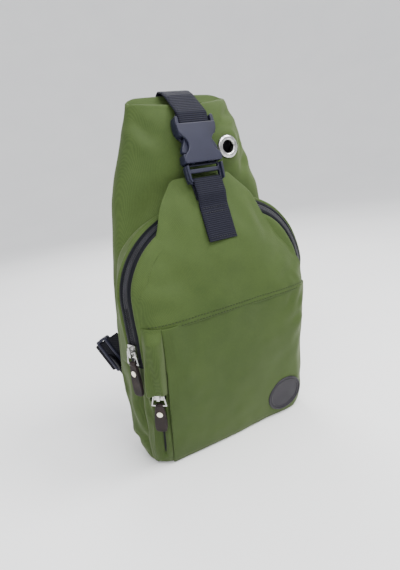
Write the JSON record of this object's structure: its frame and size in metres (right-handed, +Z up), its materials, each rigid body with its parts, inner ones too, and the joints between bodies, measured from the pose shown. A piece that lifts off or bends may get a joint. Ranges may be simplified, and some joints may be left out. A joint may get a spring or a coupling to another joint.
{
  "type": "sling bag",
  "caption": "Zipped cloth sling bag with an arched main zip, a front pocket, a buckled flap, a cable eyelet and one padded shoulder strap behind.",
  "frame": {"origin": "middle of the flat base", "axes": "+Z up, the front with the flap faces -Y, +X to the viewer's right; metres"},
  "size_m": [0.2055, 0.125, 0.3331],
  "materials": {
    "olive_cloth": "smooth woven polyester",
    "black_mesh": "padded air mesh",
    "grey_lining": "thin plain weave",
    "foam": "closed cell foam",
    "board": "stiff sheet",
    "black_tape": "satin zip tape",
    "black_coil": "nylon coil",
    "webbing": "ribbed webbing",
    "buckle_plastic": "fine texture",
    "nickel": "polished nickel",
    "leather": "smooth dark leather",
    "patch": "soft moulded patch"
  },
  "bodies": {
    "bag": {"rear_gusset": "olive_cloth", "upper_front_panel": "olive_cloth", "back_panel": "black_mesh", "back_foam": "foam", "main_lining": "grey_lining", "slip_pocket": "grey_lining", "base_board": "board", "door_lining": "grey_lining", "dome_panel": "olive_cloth", "pocket_gusset": "olive_cloth", "pocket_panel": "olive_cloth", "pocket_side_strip": "olive_cloth", "pocket_lining": "grey_lining", "flap_base": "olive_cloth", "main_zip_outer_tape": "black_tape", "main_zip_inner_tape": "black_tape", "main_zip_outer_coil": "black_coil", "main_zip_inner_coil": "black_coil", "main_zip_stops": "nickel", "pocket_zip_outer_tape": "black_tape", "pocket_zip_inner_tape": "black_tape", "pocket_zip_outer_coil": "black_coil", "pocket_zip_inner_coil": "black_coil", "pocket_zip_stops": "nickel", "buckle_socket": "buckle_plastic", "top_webbing": "webbing", "eyelet": "nickel", "eyelet_washer": "nickel", "round_patch": "patch", "strap_pad": "black_mesh", "strap_webbing": "webbing", "side_tab": "webbing", "strap_ring": "buckle_plastic"},
    "main_slider": {"main_slider": "nickel"},
    "main_link": {"main_pull_link": "nickel"},
    "main_tab": {"main_pull_tab": "leather", "main_pull_rivet": "nickel"},
    "pocket_slider": {"pocket_slider": "nickel"},
    "pocket_link": {"pocket_pull_link": "nickel"},
    "pocket_tab": {"pocket_pull_tab": "leather", "pocket_pull_rivet": "nickel"},
    "flap": {"flap_panel": "olive_cloth", "flap_lining": "grey_lining", "flap_webbing": "webbing"},
    "plug": {"buckle_plug": "buckle_plastic"},
    "arm_left": {"latch_arm_left": "buckle_plastic"},
    "arm_right": {"latch_arm_right": "buckle_plastic"},
    "strap_slider": {"strap_slider": "buckle_plastic"}
  },
  "joints": [
    {"name": "main_slider_travel", "type": "slide", "parent": "bag", "child": "main_slider", "axis": [0, 0, 1], "range_m": [0, 0.022]},
    {"name": "main_pull_swing", "type": "hinge", "parent": "main_slider", "child": "main_link", "pos_m": [-0.09742, -0.03822, 0.128], "axis": [-0.3714, 0.9285, 0], "range_deg": [0, 120]},
    {"name": "main_tab_swing", "type": "hinge", "parent": "main_link", "child": "main_tab", "pos_m": [-0.09742, -0.03822, 0.117], "axis": [-0.3714, 0.9285, 0], "range_deg": [0, 60]},
    {"name": "pocket_slider_travel", "type": "slide", "parent": "bag", "child": "pocket_slider", "axis": [0, -0.1909, 0.9816], "range_m": [-0.038, 0]},
    {"name": "pocket_pull_swing", "type": "hinge", "parent": "pocket_slider", "child": "pocket_link", "pos_m": [-0.08361, -0.0467, 0.08436], "axis": [-0.809, 0.577, 0.1122], "range_deg": [0, 120]},
    {"name": "pocket_tab_swing", "type": "hinge", "parent": "pocket_link", "child": "pocket_tab", "pos_m": [-0.08361, -0.0446, 0.07357], "axis": [-0.809, 0.577, 0.1122], "range_deg": [0, 60]},
    {"name": "flap_fold", "type": "hinge", "parent": "bag", "child": "flap", "pos_m": [0, -0.0542, 0.1685], "axis": [1, 0, 0], "range_deg": [0, 120], "deforming": ["latch_arm_left", "latch_arm_right"]},
    {"name": "buckle_release", "type": "slide", "parent": "flap", "child": "plug", "axis": [0, -0.5, -0.866], "range_m": [0, 0.027], "deforming": ["latch_arm_left", "latch_arm_right", "flap_webbing"]},
    {"name": "latch_squeeze_left", "type": "hinge", "parent": "plug", "child": "arm_left", "pos_m": [-0.0076, -0.033, 0.274], "axis": [0, 0.9781, -0.2079], "range_deg": [0, 16], "stiffness_Nm_per_rad": 0.05},
    {"name": "latch_squeeze_right", "type": "hinge", "parent": "plug", "child": "arm_right", "pos_m": [0.0076, -0.033, 0.274], "axis": [0, -0.9781, 0.2079], "range_deg": [0, 16], "stiffness_Nm_per_rad": 0.05},
    {"name": "strap_adjust", "type": "slide", "parent": "bag", "child": "strap_slider", "axis": [0, 0, -1], "range_m": [-0.01, 0.03]}
  ]
}
